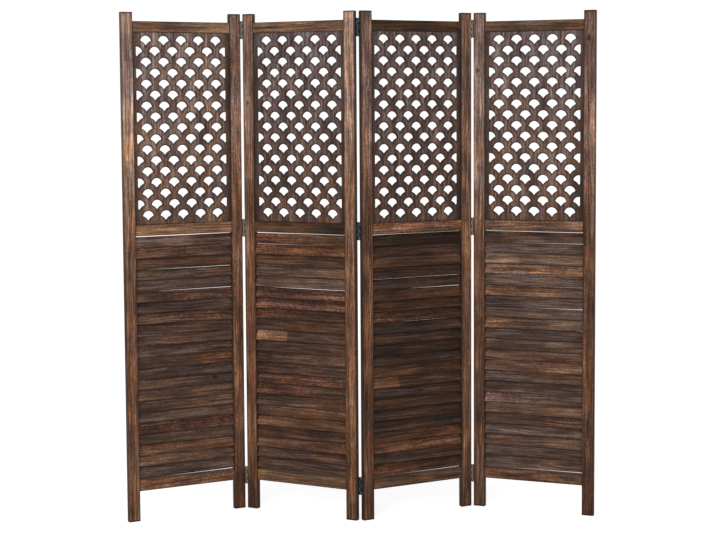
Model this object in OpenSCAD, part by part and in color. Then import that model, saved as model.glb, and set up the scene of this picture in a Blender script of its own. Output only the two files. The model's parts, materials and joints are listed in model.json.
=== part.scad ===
// Four-panel folding screen: fretwork above, louvre slats below, butt hinges between.
//
// A panel is drawn in its own frame: x from its left edge, y from its front face
// towards its back face, z up from the floor. place_panel() then turns it to its
// heading. The whole screen stands with the origin under the middle of its box.

/* [Screen] */
// Height of the posts
screen_height = 1700; // [1500:10:1900]
// Width of one panel over its two posts
panel_width = 420; // [340:1:560]
// Thickness of the posts
panel_thickness = 20; // [18.5:0.5:30]
// Heading of the second panel, seen from above
heading_2 = -25.5; // [-80:0.1:0]
// Fold between panels 1 and 2, fronts facing, 0 is in line
fold_12 = 51.7; // [5:0.1:170]
// Fold between panels 2 and 3, backs facing, 0 is in line
fold_23 = 52.2; // [5:0.1:170]
// Fold between panels 3 and 4, fronts facing, 0 is in line
fold_34 = 47.3; // [5:0.1:170]

/* [Frame] */
// Width of a post, seen from the front
stile_width = 40; // [32:0.5:60]
// Radius along a post's four upright edges
stile_edge_radius = 2.5; // [0.5:0.1:4]
// Thickness of the rails
rail_thickness = 18; // [16:0.5:18]
// Radius along a rail's four long edges
rail_edge_radius = 1.5; // [0.3:0.1:3]
// Height of the bottom rail's underside above the floor
leg_height = 101.5; // [60:0.5:160]
// Height of the bottom rail's face
bottom_rail_height = 39; // [36:0.5:60]
// Height of the louvre opening between bottom and middle rail
louvre_opening = 820; // [400:5:900]
// Height of the middle rail's face
middle_rail_height = 38.5; // [36:0.5:60]
// Height of the top rail's face
top_rail_height = 36.5; // [36:0.5:60]
// Length of post that stands above the top rail
post_horn = 29.5; // [10:0.5:60]

/* [Louvre slats] */
// Width of a slat along its slope
slat_width = 37.4; // [30:0.1:40]
// Thickness of a slat
slat_thickness = 3.6; // [3:0.1:4.4]
// Lean of a slat from upright, lower edge to the front
slat_tilt = 23; // [8:0.5:25]
// Wanted rise from one slat to the next
slat_spacing = 36.8; // [32:0.1:60]
// Gap between the bottom rail and the lowest slat
slat_bottom_gap = 6.2; // [3:0.1:15]
// Gap between the highest slat and the middle rail
slat_top_gap = 3.3; // [1:0.1:10]
// Depth of the slots in the posts that hold the slats
slat_slot_depth = 6; // [3:0.5:8]

/* [Fretwork] */
// Thickness of the pierced board
board_thickness = 8; // [4:0.5:9]
// Depth of the grooves that hold the board
board_groove_depth = 6; // [3:0.5:7]
// Radius of a fan's round top
fan_radius = 19.4; // [12:0.1:19.5]
// Depth of a fan's tip below the centre of its round top
fan_tip = 14.1; // [10:0.1:16]
// Radius of the two arcs that hollow a fan's sides
fan_side_radius = 36; // [34:0.1:40]
// Distance of those arcs' centres from the fan's middle line
fan_side_aside = 32; // [30:0.1:33]
// Distance between fans in a row
fan_column_pitch = 61.5; // [58:0.5:64]
// Distance from one row of fans to the next
fan_row_pitch = 36.25; // [34:0.25:38]
// Plain strip between a post and the pierced field
fan_side_margin = 12; // [6:0.5:30]
// Least plain strip between a rail and the pierced field
fan_end_margin = 10; // [6:0.5:30]

/* [Dowels] */
// Diameter of the dowels in the rail ends
dowel_diameter = 8; // [6:0.5:8]
// Length of a dowel, half of it in the post
dowel_length = 38; // [24:1:40]
// Distance between the two dowels of a rail end
dowel_spacing = 15; // [10:0.5:16]

/* [Hinges] */
// Height of a hinge
hinge_height = 60; // [50:1:80]
// Distance of a hinge's middle below the middle of the rail beside it
hinge_drop = 6; // [0:0.5:10]
// Diameter of the hinge barrel, which is also the gap between two panels
barrel_diameter = 6; // [5:0.1:8]
// Distance of the barrel's axis outside the panel's face
barrel_offset = 1; // [0.5:0.1:2]
// Thickness of a hinge leaf
leaf_thickness = 1.2; // [0.8:0.1:1.2]
// Number of knuckles in a barrel
knuckle_count = 5; // [3:2:7]
// Height of the round head at each end of a hinge pin
pin_head_height = 0.8; // [0.5:0.1:1.5]
// Rim of a pin's head beyond the pin
pin_head_rim = 0.8; // [0.3:0.1:1]

/* [Screws] */
// Diameter of a screw's shank
screw_diameter = 3; // [2:0.1:3.5]
// Diameter of a screw's countersunk head
screw_head_diameter = 5.4; // [4.5:0.1:6]
// Length of a screw
screw_length = 14; // [10:0.5:16]
// Distance between the screws of a leaf
screw_spacing = 20; // [16:0.5:20]

/* [Fits] */
// Gap all round a hinge pin in its knuckles
pin_clearance = 0.05; // [0.02:0.01:0.1]
// Gap between two knuckles, end to end
knuckle_gap = 0.3; // [0.2:0.05:0.6]
// Gap between a leaf's notch and the other leaf's knuckle
notch_gap = 0.4; // [0.3:0.05:0.8]
// Gap on each side of a slat or board in its slot
slot_clearance = 0.1; // [0:0.05:0.2]
// Gap at the end of a slat or board in its slot, for swelling
end_clearance = 0.5; // [0.2:0.1:1]
// Gap all round a dowel, for glue
dowel_clearance = 0.05; // [0.02:0.01:0.1]
// Gap all round a screw
screw_clearance = 0.05; // [0.02:0.01:0.1]

/* [Hidden] */
$fn = 48;
// Overshoot of a cut past the face it opens
cut = 1;

// Heights of the rails' undersides
bottom_rail_z = leg_height;
middle_rail_z = bottom_rail_z + bottom_rail_height + louvre_opening;
top_rail_z = screen_height - post_horn - top_rail_height;

// The two openings of a panel
opening_width = panel_width - 2 * stile_width;
louvre_z = bottom_rail_z + bottom_rail_height;
fret_z = middle_rail_z + middle_rail_height;
fret_opening = top_rail_z - fret_z;
mid_y = panel_thickness / 2;

// Slats: as many as come nearest to the wanted rise, spread evenly
slat_height = slat_width * cos(slat_tilt) + slat_thickness * sin(slat_tilt);
slat_span = louvre_opening - slat_bottom_gap - slat_top_gap - slat_height;
slat_count = 1 + max(1, round(slat_span / slat_spacing));
slat_rise = slat_span / (slat_count - 1);
slat_length = opening_width + 2 * (slat_slot_depth - end_clearance);

// Fans: as many as fit, centred in the board
field_width = opening_width - 2 * fan_side_margin;
fan_columns = 1 + floor((field_width - 2 * fan_radius) / fan_column_pitch);
fan_side_drop = fan_tip + sqrt(pow(fan_side_radius, 2) - pow(fan_side_aside, 2));
fan_height = fan_radius + fan_tip;
fan_rows = 1 + floor((fret_opening - 2 * fan_end_margin - fan_height) / fan_row_pitch);
fan_end_strip = (fret_opening - (fan_rows - 1) * fan_row_pitch - fan_height) / 2;
board_width = opening_width + 2 * (board_groove_depth - end_clearance);
board_height = fret_opening + 2 * board_groove_depth - end_clearance;

// Dowels: kept clear of the board's groove in the rail
dowel_hole_diameter = dowel_diameter + 2 * dowel_clearance;
dowel_hole_depth = dowel_length / 2 + end_clearance;

// Hinges: the leaves touch the posts' outer edge faces
panel_gap = barrel_diameter;
bore_diameter = barrel_diameter - 2 * leaf_thickness;
pin_diameter = bore_diameter - 2 * pin_clearance;
leaf_depth = barrel_offset + panel_thickness - stile_edge_radius;
screw_y = barrel_offset + mid_y;
knuckle_height = hinge_height / knuckle_count;
hinge_z = [
    bottom_rail_z + bottom_rail_height / 2 - hinge_drop,
    middle_rail_z + middle_rail_height / 2 - hinge_drop,
    top_rail_z + top_rail_height / 2 - hinge_drop
];

// Headings of the four panels, and the three hinge axes seen from above
heading = [
    heading_2 + fold_12,
    heading_2,
    heading_2 + fold_23,
    heading_2 + fold_23 - fold_34
];
front_y = -barrel_offset;
back_y = panel_thickness + barrel_offset;
function turned(v, a) = [v.x * cos(a) - v.y * sin(a), v.x * sin(a) + v.y * cos(a)];
axis_left_x = -panel_gap / 2;
axis_right_x = panel_width + panel_gap / 2;
corner_2 = -turned([axis_right_x, back_y], heading[1]);
corner_3 = -turned([axis_left_x, back_y], heading[2]);
axis_12 = corner_2 + turned([axis_left_x, front_y], heading[1]);
axis_34 = corner_3 + turned([axis_right_x, front_y], heading[2]);
corner_1 = axis_12 - turned([axis_right_x, front_y], heading[0]);
corner_4 = axis_34 - turned([axis_left_x, front_y], heading[3]);
corner = [corner_1, corner_2, corner_3, corner_4];

// The screen's box, from the centres of the posts' rounded corners
round_x = [stile_edge_radius, panel_width - stile_edge_radius];
round_y = [stile_edge_radius, panel_thickness - stile_edge_radius];
extremes = [for (k = [0:3], x = round_x, y = round_y) corner[k] + turned([x, y], heading[k])];
centre_x = (min([for (p = extremes) p.x]) + max([for (p = extremes) p.x])) / 2;
centre_y = (min([for (p = extremes) p.y]) + max([for (p = extremes) p.y])) / 2;

// Turns a panel's own frame to its place in the screen.
module place_panel(number) {
    spot = corner[number - 1] - [centre_x, centre_y];
    translate([spot.x, spot.y, 0])
        rotate([0, 0, heading[number - 1]])
            children();
}

// A rectangle with rounded corners, its lower left corner at the origin.
module rounded_rectangle(size_x, size_y, radius) {
    translate([radius, 0]) square([size_x - 2 * radius, size_y]);
    translate([0, radius]) square([size_x, size_y - 2 * radius]);
    for (x = [radius, size_x - radius], y = [radius, size_y - radius])
        translate([x, y]) circle(r = radius);
}

// A slat's block with its middle at x 0, or the slot for it when grown.
module slat_block(length, grow) {
    rotate([-slat_tilt, 0, 0])
        cube([length, slat_thickness + 2 * grow, slat_width + 2 * grow], center = true);
}

// Height of the middle of slat number index, counted from the bottom.
function slat_z(index) = louvre_z + slat_bottom_gap + slat_height / 2 + index * slat_rise;

// Heights of the two dowels of each rail above the rail's underside.
function dowel_heights(height, groove_below, groove_above) =
    let (middle = (height + groove_below - groove_above) / 2)
    [middle - dowel_spacing / 2, middle + dowel_spacing / 2];

bottom_dowels = dowel_heights(bottom_rail_height, 0, 0);
middle_dowels = dowel_heights(middle_rail_height, 0, board_groove_depth);
top_dowels = dowel_heights(top_rail_height, board_groove_depth, 0);
dowel_z = concat(
    [for (h = bottom_dowels) bottom_rail_z + h],
    [for (h = middle_dowels) middle_rail_z + h],
    [for (h = top_dowels) top_rail_z + h]
);

// A post whose inner edge faces +x. hinge_side is "front", "back" or "none".
module stile(hinge_side) {
    hinge_y = hinge_side == "back" ? back_y - screw_y : front_y + screw_y;
    difference() {
        linear_extrude(height = screen_height)
            rounded_rectangle(stile_width, panel_thickness, stile_edge_radius);
        // groove for the pierced board
        translate([
            stile_width - board_groove_depth,
            mid_y - board_thickness / 2 - slot_clearance,
            fret_z - board_groove_depth
        ])
            cube([
                board_groove_depth + cut,
                board_thickness + 2 * slot_clearance,
                fret_opening + 2 * board_groove_depth
            ]);
        // leaning slots for the slats
        for (i = [0:slat_count - 1])
            translate([stile_width + cut / 2 - slat_slot_depth / 2, mid_y, slat_z(i)])
                slat_block(slat_slot_depth + cut, slot_clearance);
        // dowel holes
        for (z = dowel_z)
            translate([stile_width - dowel_hole_depth, mid_y, z])
                rotate([0, 90, 0])
                    cylinder(h = dowel_hole_depth + cut, d = dowel_hole_diameter);
        // screw holes in the outer edge
        if (hinge_side != "none")
            for (z = hinge_z, i = [-1:1])
                translate([-cut, hinge_y, z + i * screw_spacing])
                    rotate([0, 90, 0])
                        cylinder(
                            h = screw_length + screw_clearance + cut,
                            d = screw_diameter + 2 * screw_clearance
                        );
    }
}

module left_stile(number, hinge_side) {
    color("#7a5540") place_panel(number) stile(hinge_side);
}

module right_stile(number, hinge_side) {
    color("#7a5540")
        place_panel(number)
            translate([panel_width, 0, 0])
                mirror([1, 0, 0])
                    stile(hinge_side);
}

// A rail between the posts, with dowel holes in its ends and grooves where asked.
module rail(number, z, height, dowels, groove_below, groove_above) {
    color("#6f4c38")
        place_panel(number)
            translate([stile_width, 0, z])
                difference() {
                    translate([0, mid_y - rail_thickness / 2, height])
                        rotate([0, 90, 0])
                            linear_extrude(height = opening_width)
                                rounded_rectangle(height, rail_thickness, rail_edge_radius);
                    for (h = dowels, x = [0, opening_width])
                        translate([x, mid_y, h])
                            rotate([0, 90, 0])
                                cylinder(h = 2 * dowel_hole_depth, d = dowel_hole_diameter, center = true);
                    if (groove_below > 0)
                        board_groove(-cut, groove_below + cut);
                    if (groove_above > 0)
                        board_groove(height - groove_above, groove_above + cut);
                }
}

// The groove for the board along a rail, starting at height z.
module board_groove(z, depth) {
    translate([-cut, mid_y - board_thickness / 2 - slot_clearance, z])
        cube([opening_width + 2 * cut, board_thickness + 2 * slot_clearance, depth]);
}

module bottom_rail(number) {
    rail(number, bottom_rail_z, bottom_rail_height, bottom_dowels, 0, 0);
}

module middle_rail(number) {
    rail(number, middle_rail_z, middle_rail_height, middle_dowels, 0, board_groove_depth);
}

module top_rail(number) {
    rail(number, top_rail_z, top_rail_height, top_dowels, board_groove_depth, 0);
}

// One fan-shaped hole: a round top whose sides are hollowed down to a tip by two arcs.
module fan() {
    difference() {
        circle(r = fan_radius);
        for (side = [-1, 1])
            translate([side * fan_side_aside, -fan_side_drop])
                circle(r = fan_side_radius);
    }
}

// Height of the centre of a row of fans above the opening, row 0 at the top.
function fan_z(row) = fret_opening - fan_end_strip - fan_radius - row * fan_row_pitch;

// The pierced board: rows of whole fans between rows that end in part fans.
module fretwork(number) {
    color("#5d4a40")
        place_panel(number)
            translate([stile_width, mid_y + board_thickness / 2, fret_z])
                rotate([90, 0, 0])
                    linear_extrude(height = board_thickness)
                        difference() {
                            translate([-(board_width - opening_width) / 2, -board_groove_depth])
                                square([board_width, board_height]);
                            for (row = [0:2:fan_rows - 1], i = [0:fan_columns - 1])
                                translate([
                                    opening_width / 2 + (i - (fan_columns - 1) / 2) * fan_column_pitch,
                                    fan_z(row)
                                ])
                                    fan();
                            for (row = [1:2:fan_rows - 1], i = [1:fan_columns - 1])
                                translate([
                                    opening_width / 2 + (i - fan_columns / 2) * fan_column_pitch,
                                    fan_z(row)
                                ])
                                    fan();
                            for (row = [1:2:fan_rows - 1])
                                part_fans(fan_z(row));
                        }
}

// The fans at both ends of an in-between row, cut off at the field's edge.
module part_fans(z) {
    intersection() {
        for (side = [-1, 1])
            translate([opening_width / 2 + side * fan_columns / 2 * fan_column_pitch, z])
                fan();
        translate([fan_side_margin, z - fan_row_pitch])
            square([field_width, 2 * fan_row_pitch]);
    }
}

module slats(number) {
    color("#4a3a34")
        place_panel(number)
            for (i = [0:slat_count - 1])
                translate([panel_width / 2, mid_y, slat_z(i)])
                    slat_block(slat_length, 0);
}

module dowels(number) {
    color("#c9a678")
        place_panel(number)
            for (x = [stile_width, panel_width - stile_width], z = dowel_z)
                translate([x, mid_y, z])
                    rotate([0, 90, 0])
                        cylinder(h = dowel_length, d = dowel_diameter, center = true);
}

// The ends of one knuckle, pulled in where another knuckle meets it.
function knuckle_low(i) = -hinge_height / 2 + i * knuckle_height + (i > 0 ? knuckle_gap / 2 : 0);
function knuckle_high(i) =
    -hinge_height / 2 + (i + 1) * knuckle_height - (i < knuckle_count - 1 ? knuckle_gap / 2 : 0);

// A hinge leaf with its barrel axis at the origin and its plate towards +y, lying
// against the post at x = -barrel_diameter / 2. first is its lowest knuckle.
module leaf_plate(first) {
    other = 1 - first;
    difference() {
        union() {
            translate([-barrel_diameter / 2, 0, -hinge_height / 2])
                cube([leaf_thickness, leaf_depth, hinge_height]);
            for (i = [first:2:knuckle_count - 1])
                translate([0, 0, knuckle_low(i)])
                    cylinder(h = knuckle_high(i) - knuckle_low(i), d = barrel_diameter);
        }
        translate([0, 0, -hinge_height / 2 - cut])
            cylinder(h = hinge_height + 2 * cut, d = bore_diameter);
        // notches for the other leaf's knuckles
        for (i = [other:2:knuckle_count - 1])
            translate([-barrel_diameter, -barrel_diameter, notch_low(i)])
                cube([
                    2 * barrel_diameter,
                    barrel_diameter * 1.5 + notch_gap,
                    notch_high(i) - notch_low(i)
                ]);
        // countersunk screw holes
        for (i = [-1:1])
            translate([-barrel_diameter / 2, screw_y, i * screw_spacing])
                rotate([0, 90, 0]) {
                    cylinder(
                        h = leaf_thickness,
                        d1 = screw_diameter + 2 * screw_clearance,
                        d2 = screw_head_diameter + 2 * screw_clearance
                    );
                    translate([0, 0, -cut])
                        cylinder(h = 2 * cut, d = screw_diameter + 2 * screw_clearance);
                }
    }
}

// A notch reaches past the hinge's end where the other leaf has the end knuckle.
function notch_low(i) =
    i == 0 ? -hinge_height / 2 - cut : knuckle_low(i) - knuckle_gap;
function notch_high(i) =
    i == knuckle_count - 1 ? hinge_height / 2 + cut : knuckle_high(i) + knuckle_gap;

// Puts a hinge piece on the right or left edge of a panel. The piece is drawn for
// the right edge of the panel on the left, with the barrel in front.
module place_leaf(number, edge, side, z) {
    x = edge == "right" ? axis_right_x : axis_left_x;
    y = side == "front" ? front_y : back_y;
    place_panel(number)
        translate([x, y, z])
            mirror([edge == "right" ? 0 : 1, 0, 0])
                mirror([0, side == "front" ? 0 : 1, 0])
                    children();
}

module left_leaf(number, side, level) {
    color("#1c1b1a") place_leaf(number, "right", side, hinge_z[level]) leaf_plate(0);
}

module right_leaf(number, side, level) {
    color("#1c1b1a") place_leaf(number, "left", side, hinge_z[level]) leaf_plate(1);
}

// A pin with a flat round head at each end, which hold it between the knuckles.
module pins(number, side) {
    color("#55565a")
        for (z = hinge_z)
            place_leaf(number, "right", side, z) {
                cylinder(h = hinge_height + 2 * pin_head_height, d = pin_diameter, center = true);
                for (end = [-1, 1])
                    translate([0, 0, end * (hinge_height + pin_head_height) / 2])
                        cylinder(h = pin_head_height, d = pin_diameter + 2 * pin_head_rim, center = true);
            }
}

// A countersunk screw along -x with a cross recess, its head level with the leaf.
module screw() {
    recess_depth = leaf_thickness / 2;
    recess_width = screw_diameter / 5;
    tip = screw_diameter;
    difference() {
        rotate([0, -90, 0]) {
            cylinder(h = leaf_thickness, d1 = screw_head_diameter, d2 = screw_diameter);
            translate([0, 0, leaf_thickness])
                cylinder(h = screw_length - leaf_thickness - tip, d = screw_diameter);
            translate([0, 0, screw_length - tip])
                cylinder(h = tip, d1 = screw_diameter, d2 = screw_diameter / 4);
        }
        for (turn = [0, 90])
            rotate([turn, 0, 0])
                cube([2 * recess_depth, recess_width, screw_head_diameter * 0.6], center = true);
    }
}

module leaf_screws(number, edge, side) {
    for (z = hinge_z, i = [-1:1])
        place_leaf(number, edge, side, z + i * screw_spacing)
            translate([leaf_thickness - barrel_diameter / 2, screw_y, 0])
                screw();
}

// The screws of a panel: one row for each edge that has hinges.
module screws(number, left_side, right_side) {
    color("#2a2a2b") {
        if (left_side != "none")
            leaf_screws(number, "left", left_side);
        if (right_side != "none")
            leaf_screws(number, "right", right_side);
    }
}

left_stile(1, "none");  // panel_1_left_stile
right_stile(1, "front");  // panel_1_right_stile
top_rail(1);  // panel_1_top_rail
middle_rail(1);  // panel_1_middle_rail
bottom_rail(1);  // panel_1_bottom_rail
fretwork(1);  // panel_1_fretwork
slats(1);  // panel_1_slats
dowels(1);  // panel_1_dowels

left_stile(2, "front");  // panel_2_left_stile
right_stile(2, "back");  // panel_2_right_stile
top_rail(2);  // panel_2_top_rail
middle_rail(2);  // panel_2_middle_rail
bottom_rail(2);  // panel_2_bottom_rail
fretwork(2);  // panel_2_fretwork
slats(2);  // panel_2_slats
dowels(2);  // panel_2_dowels

left_stile(3, "back");  // panel_3_left_stile
right_stile(3, "front");  // panel_3_right_stile
top_rail(3);  // panel_3_top_rail
middle_rail(3);  // panel_3_middle_rail
bottom_rail(3);  // panel_3_bottom_rail
fretwork(3);  // panel_3_fretwork
slats(3);  // panel_3_slats
dowels(3);  // panel_3_dowels

left_stile(4, "front");  // panel_4_left_stile
right_stile(4, "none");  // panel_4_right_stile
top_rail(4);  // panel_4_top_rail
middle_rail(4);  // panel_4_middle_rail
bottom_rail(4);  // panel_4_bottom_rail
fretwork(4);  // panel_4_fretwork
slats(4);  // panel_4_slats
dowels(4);  // panel_4_dowels

left_leaf(1, "front", 0);  // hinge_12_bottom_left_leaf
right_leaf(2, "front", 0);  // hinge_12_bottom_right_leaf
left_leaf(1, "front", 1);  // hinge_12_middle_left_leaf
right_leaf(2, "front", 1);  // hinge_12_middle_right_leaf
left_leaf(1, "front", 2);  // hinge_12_top_left_leaf
right_leaf(2, "front", 2);  // hinge_12_top_right_leaf
left_leaf(2, "back", 0);  // hinge_23_bottom_left_leaf
right_leaf(3, "back", 0);  // hinge_23_bottom_right_leaf
left_leaf(2, "back", 1);  // hinge_23_middle_left_leaf
right_leaf(3, "back", 1);  // hinge_23_middle_right_leaf
left_leaf(2, "back", 2);  // hinge_23_top_left_leaf
right_leaf(3, "back", 2);  // hinge_23_top_right_leaf
left_leaf(3, "front", 0);  // hinge_34_bottom_left_leaf
right_leaf(4, "front", 0);  // hinge_34_bottom_right_leaf
left_leaf(3, "front", 1);  // hinge_34_middle_left_leaf
right_leaf(4, "front", 1);  // hinge_34_middle_right_leaf
left_leaf(3, "front", 2);  // hinge_34_top_left_leaf
right_leaf(4, "front", 2);  // hinge_34_top_right_leaf

pins(1, "front");  // hinge_12_pins
pins(2, "back");  // hinge_23_pins
pins(3, "front");  // hinge_34_pins

screws(1, "none", "front");  // panel_1_screws
screws(2, "front", "back");  // panel_2_screws
screws(3, "back", "front");  // panel_3_screws
screws(4, "front", "none");  // panel_4_screws
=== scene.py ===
# Dresses a four-panel folding screen: burnt and brushed wood posts and rails, pierced
# fretwork boards above, uneven louvre slats below and painted hinges between the panels.
import json
import math
import random

import bmesh
import bpy
from mathutils import Matrix, Vector


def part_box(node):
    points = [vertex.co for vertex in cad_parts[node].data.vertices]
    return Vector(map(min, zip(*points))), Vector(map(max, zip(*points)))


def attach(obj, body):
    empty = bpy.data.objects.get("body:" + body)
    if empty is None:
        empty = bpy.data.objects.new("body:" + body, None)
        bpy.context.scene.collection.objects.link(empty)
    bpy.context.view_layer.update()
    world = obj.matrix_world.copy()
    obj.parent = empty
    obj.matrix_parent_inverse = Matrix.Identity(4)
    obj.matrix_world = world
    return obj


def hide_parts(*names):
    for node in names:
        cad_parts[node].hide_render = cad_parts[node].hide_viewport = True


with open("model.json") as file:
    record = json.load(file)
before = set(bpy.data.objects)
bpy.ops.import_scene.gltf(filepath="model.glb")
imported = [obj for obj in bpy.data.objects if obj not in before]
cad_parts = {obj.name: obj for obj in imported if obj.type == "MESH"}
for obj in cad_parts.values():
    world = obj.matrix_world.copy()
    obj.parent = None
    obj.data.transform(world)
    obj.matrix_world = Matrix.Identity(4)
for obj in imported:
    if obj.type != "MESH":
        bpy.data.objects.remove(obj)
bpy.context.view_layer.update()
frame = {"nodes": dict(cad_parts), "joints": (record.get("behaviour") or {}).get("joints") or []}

bl_info = {
    "name": "Fretwork and Louvre Folding Screen",
    "version": (1, 0, 0),
    "blender": (4, 5, 0),
    "location": "View3D > Sidebar > Screen",
    "description": "Builds the wood, slats and finishes of a four-panel folding screen",
    "category": "Object",
}

MM = 0.001
PANELS = (1, 2, 3, 4)
SEED = 4489


# ---------------------------------------------------------------- sizes and colours


def size_property(name, description, default, subtype="DISTANCE"):
    """A length in metres that a user may change."""
    return bpy.props.FloatProperty(
        name=name, description=description, default=default, subtype=subtype, unit="LENGTH"
    )


def colour_property(name, description, default):
    """A linear colour that a user may change."""
    return bpy.props.FloatVectorProperty(
        name=name,
        description=description,
        default=default,
        size=3,
        min=0.0,
        max=1.0,
        subtype="COLOR",
    )


class ScreenWood(bpy.types.PropertyGroup):
    """Shapes and stains of the wooden pieces."""

    end_radius: size_property("End radius", "Softening of a post's sawn ends", 1.2 * MM)
    cut_radius: size_property("Cut radius", "Softening along the edges of the fan holes", 0.35 * MM)
    burn_width: size_property("Burn width", "Width of the burnt ring round a fan hole", 5.0 * MM)
    slat_edge_radius: size_property("Slat edge radius", "Rounding along a slat's long edges", 0.6 * MM)
    slat_bow: size_property("Slat bow", "Most that a slat's middle bends up or down", 0.5 * MM)
    slat_trim: size_property("Slat trim", "Most that a slat's edge stays short of its place", 0.2 * MM)
    stain_dark: colour_property("Dark stain", "Burnt pores and edges", (0.016, 0.008, 0.005))
    post_colour: colour_property("Posts", "Stain of the posts", (0.118, 0.056, 0.031))
    rail_colour: colour_property("Rails", "Stain of the rails", (0.135, 0.069, 0.039))
    fret_colour: colour_property("Fretwork", "Stain of the pierced boards", (0.094, 0.054, 0.038))
    slat_colour: colour_property("Slats", "Stain of the slats", (0.077, 0.040, 0.025))


class ScreenMetal(bpy.types.PropertyGroup):
    """Finishes of the hinges, pins and screws."""

    hinge_colour: colour_property("Hinges", "Black paint of the middle hinges", (0.012, 0.012, 0.013))
    # The outer hinges' lighter grey-brown stands in for the grey highlight along their barrels: a
    # painted highlight.
    highlit_hinge_colour: colour_property("Outer hinges", "Black paint of the others, lightened as a painted highlight", (0.11, 0.085, 0.07))
    screw_colour: colour_property("Screws", "Black finish of the screws", (0.025, 0.025, 0.027))
    pin_colour: colour_property("Pins", "Bare steel of the hinge pins", (0.30, 0.30, 0.31))


class ScreenStage(bpy.types.PropertyGroup):
    """Where the camera stands, and how strong the light is."""

    distance: size_property("Distance", "Camera in front of the middle hinges", 5.1)
    height: size_property("Height", "Camera above the floor", 1.4)
    pitch: bpy.props.FloatProperty(
        name="Pitch", description="Camera below the level", default=math.radians(4.3), unit="ROTATION"
    )
    roll: bpy.props.FloatProperty(
        name="Roll", description="Camera about its axis", default=-0.006, unit="ROTATION"
    )
    lens: bpy.props.FloatProperty(
        name="Lens", description="Focal length of the camera", default=77.56, unit="CAMERA"
    )
    shift: bpy.props.FloatProperty(
        name="Shift", description="Upward shift of the lens, as a share of the width", default=-0.0723
    )
    key_power: bpy.props.FloatProperty(
        name="Key light", description="Power of the large soft lamp", default=112.0, unit="POWER"
    )
    fill_power: bpy.props.FloatProperty(
        name="Fill light", description="Power of the lamp on the other side", default=48.0, unit="POWER"
    )
    ambient: bpy.props.FloatProperty(
        name="Ambient", description="Light from all sides", default=0.55, min=0.0, max=1.0
    )


# ---------------------------------------------------------------- places from the frame


def centre_of(node):
    low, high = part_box(node)
    return (low + high) / 2


def box_in(place, node):
    """Lowest and highest corner of a CAD node in another frame than the world's."""
    back = place.inverted()
    points = [back @ vertex.co for vertex in frame["nodes"][node].data.vertices]
    low = Vector(min(point[axis] for point in points) for axis in range(3))
    high = Vector(max(point[axis] for point in points) for axis in range(3))
    return low, high


def panel_place(number):
    """A panel's own frame: x from its left edge, y from its front face, z up."""
    left_node = f"panel_{number}_left_stile"
    left = centre_of(left_node)
    right = centre_of(f"panel_{number}_right_stile")
    turn = Matrix.Rotation(math.atan2(right.y - left.y, right.x - left.x), 4, "Z")
    place = Matrix.Translation((left.x, left.y, 0)) @ turn
    low, _ = box_in(place, left_node)
    return place @ Matrix.Translation((low.x, low.y, 0))


PLACES = {number: panel_place(number) for number in PANELS}


# ---------------------------------------------------------------- meshes


CREASE_ANGLE = math.radians(30)
MERGE_DISTANCE = 0.01 * MM
FLAT_ANGLE = math.radians(0.5)
FLAT_FACE_WEIGHT = 100

# Cosine of the largest angle at which a face still counts as square to a direction.
SQUARE_COSINE = 0.999


def shade(mesh):
    """Smooth faces, with creases where they meet at more than the crease angle."""
    for face in mesh.polygons:
        face.use_smooth = True
    mesh.set_sharp_from_angle(angle=CREASE_ANGLE)


def finish_piece(bm, name, body, material, nodes):
    """Makes the object from its bmesh, and ties it to its body, slot and CAD nodes."""
    mesh = bpy.data.meshes.new(name)
    bm.to_mesh(mesh)
    bm.free()
    shade(mesh)
    mesh.materials.append(material)
    piece = bpy.data.objects.new(name, mesh)
    bpy.context.scene.collection.objects.link(piece)
    weighted = piece.modifiers.new("Flat faces stay flat", "WEIGHTED_NORMAL")
    weighted.keep_sharp = True
    weighted.weight = FLAT_FACE_WEIGHT
    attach(piece, body)
    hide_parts(*nodes)
    return piece


BOARD_VECTORS = ("grain", "edge", "tone", "knot")
BOARD_FLOATS = ("lift", "foot", "burn")


def board_bmesh():
    """An empty bmesh with the attributes that the wood materials read."""
    bm = bmesh.new()
    for name in BOARD_VECTORS:
        bm.verts.layers.float_vector.new(name)
    for name in BOARD_FLOATS:
        bm.verts.layers.float.new(name)
    return bm


def merged_copy(node):
    """A bmesh of a CAD node, its loose triangles merged into whole flat faces."""
    bm = board_bmesh()
    bm.from_mesh(frame["nodes"][node].data)
    bmesh.ops.remove_doubles(bm, verts=bm.verts, dist=MERGE_DISTANCE)
    bmesh.ops.dissolve_limit(
        bm, angle_limit=FLAT_ANGLE, verts=bm.verts, edges=bm.edges, delimit=set()
    )
    return bm


# Along, across and strength of a knot that is too far away to show.
NO_KNOT = (9.0, 9.0, 0.0)


class Board:
    """What one board's finish needs: its axes, half sizes, tones, knot and joint."""

    def __init__(self, axes, centre, half, tones, lift=0.0, foot=0.0, knot=None, scarf=None):
        self.axes = axes
        self.centre = centre
        self.half = half
        self.tones = tones
        self.lift = lift
        self.foot = foot
        self.knot = knot
        self.scarf = scarf

    def mark(self, bm, verts, measured, start):
        """Writes the board's attributes on its vertices, from measured(vertex)."""
        grain, edge, tone, knot = (bm.verts.layers.float_vector[name] for name in BOARD_VECTORS)
        lift, foot, _ = (bm.verts.layers.float[name] for name in BOARD_FLOATS)
        along_knot, across_knot, knot_strength = self.knot or NO_KNOT
        for vertex in verts:
            at = measured(vertex) - self.centre
            along, across, depth = (at[axis] for axis in self.axes)
            vertex[grain] = Vector((along, across, depth)) + start
            shares = [at[axis] / self.half[axis] for axis in self.axes]
            vertex[edge] = Vector(shares)
            share = min(1.0, max(0.0, 0.5 + 0.5 * shares[0]))
            if self.scarf is not None:
                share = float(share > self.scarf)
            vertex[tone] = self.tones[0].lerp(self.tones[1], share)
            vertex[knot] = Vector((along - along_knot, across - across_knot, knot_strength))
            vertex[lift] = self.lift
            vertex[foot] = self.foot


def tone(lightness, warmth=0.0, figure=0.0):
    """One end of a board: doublings of its stain, orange or blue cast, curly figure."""
    return Vector((lightness, warmth, figure))


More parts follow.
